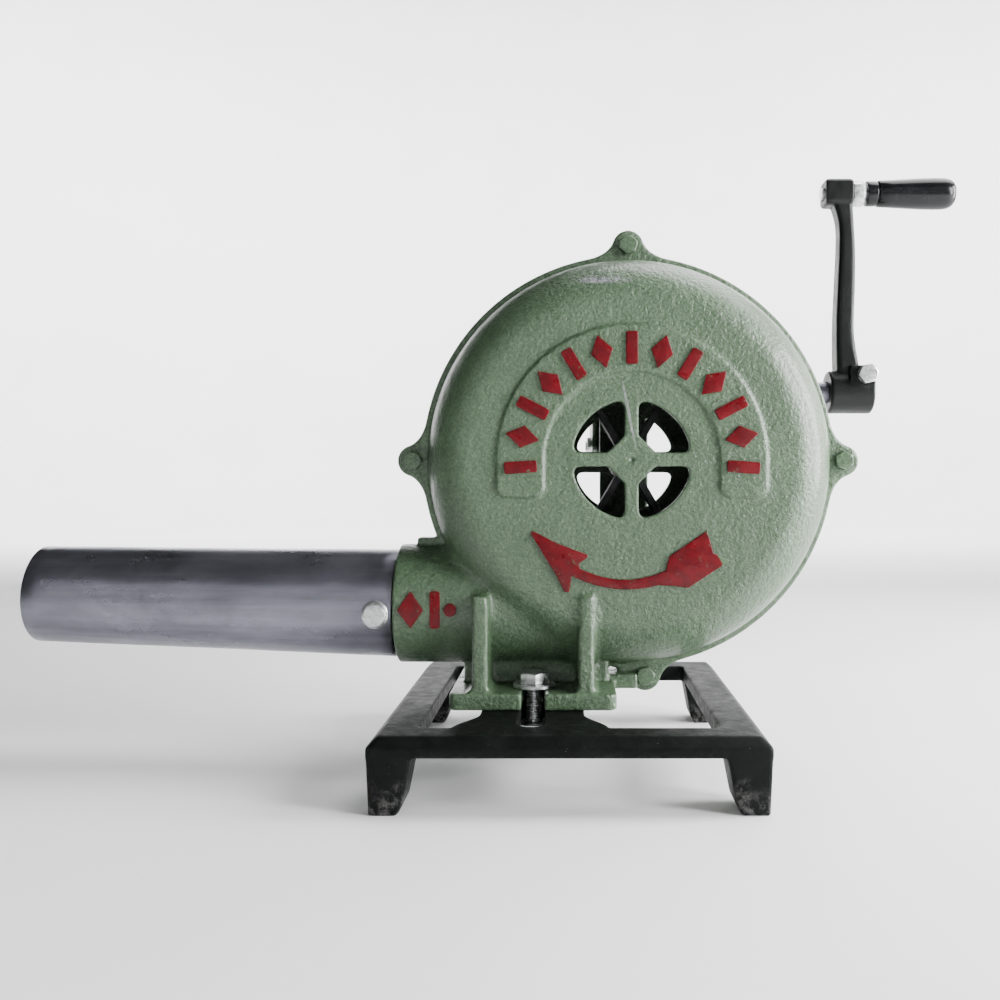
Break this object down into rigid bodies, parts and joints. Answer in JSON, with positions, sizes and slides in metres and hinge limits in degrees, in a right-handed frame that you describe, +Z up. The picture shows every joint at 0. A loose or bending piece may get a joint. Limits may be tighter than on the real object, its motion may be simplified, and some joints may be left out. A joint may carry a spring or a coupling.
{
  "type": "hand-cranked forge blower",
  "caption": "Hand-cranked centrifugal air blower for a forge: round cast casing on a low stand, geared crank behind, steel blast pipe to the left.",
  "frame": {"origin": "on the floor, under the middle of the bounding box", "axes": "+X towards the crank handle, away from the blast pipe; +Y to the back, away from the front inlet; +Z up"},
  "size_m": [0.7006, 0.3162, 0.4531],
  "materials": {
    "green_paint": "semi-gloss hammered paint over rough casting",
    "black_paint": "satin black paint over casting",
    "bare_steel": "bare rolled steel, slightly mottled",
    "zinc": "dull zinc plate",
    "black_plastic": "semi-gloss moulded plastic",
    "dark_iron": "dark oiled iron",
    "bronze": "plain bearing bronze"
  },
  "bodies": {
    "blower": {"gear_cover": "green_paint", "cover_screw_1": "zinc", "cover_screw_2": "zinc", "cover_screw_3": "zinc", "cover_screw_4": "zinc", "oil_plug": "zinc", "crank_bush_inner": "bronze", "crank_bush_outer": "bronze", "blast_pipe": "bare_steel", "pipe_bolt": "zinc", "front_casing": "green_paint", "rear_casing": "green_paint", "casing_bolt_1": "green_paint", "casing_nut_1": "green_paint", "casing_bolt_2": "green_paint", "casing_nut_2": "green_paint", "casing_bolt_3": "green_paint", "casing_nut_3": "green_paint", "casing_bolt_4": "green_paint", "casing_nut_4": "green_paint", "fan_bush_front": "bronze", "fan_bush_rear": "bronze", "gear_case": "green_paint", "gear_case_screw_top": "zinc", "gear_case_screw_bottom": "zinc", "stand": "black_paint", "foot_bolt_front": "zinc", "foot_washer_front": "zinc", "foot_washer_under_front": "zinc", "foot_nut_front": "zinc", "foot_bolt_rear": "zinc", "foot_washer_rear": "zinc", "foot_washer_under_rear": "zinc", "foot_nut_rear": "zinc"},
    "crank": {"gear_wheel": "dark_iron", "crank_shaft": "bare_steel", "wheel_key": "bare_steel", "shaft_collar": "bare_steel", "collar_screw": "zinc", "crank_arm": "black_paint", "clamp_bolt": "zinc", "clamp_washer": "zinc", "clamp_nut": "zinc", "handle_bolt": "zinc", "handle_nut": "zinc"},
    "fan_rotor": {"impeller_spider": "dark_iron", "impeller_blade_1": "dark_iron", "impeller_blade_2": "dark_iron", "impeller_blade_3": "dark_iron", "impeller_blade_4": "dark_iron", "impeller_blade_5": "dark_iron", "impeller_blade_6": "dark_iron", "impeller_nut": "zinc", "fan_shaft": "bare_steel"},
    "grip": {"handle_grip": "black_plastic"}
  },
  "joints": [
    {"name": "crank_spin", "type": "hinge", "parent": "blower", "child": "crank", "pos_m": [0.06875, 0.0964, 0.27265], "axis": [-1, 0, 0], "continuous": true},
    {"name": "fan_spin", "type": "hinge", "parent": "blower", "child": "fan_rotor", "pos_m": [0.06875, -0.02857, 0.2124], "axis": [0, 1, 0], "continuous": true},
    {"name": "grip_spin", "type": "hinge", "parent": "crank", "child": "grip", "pos_m": [0.31335, 0.0964, 0.44005], "axis": [1, 0, 0], "continuous": true}
  ],
  "couplings": [
    {"joint": "fan_spin", "follows": "crank_spin", "ratio": 12}
  ]
}
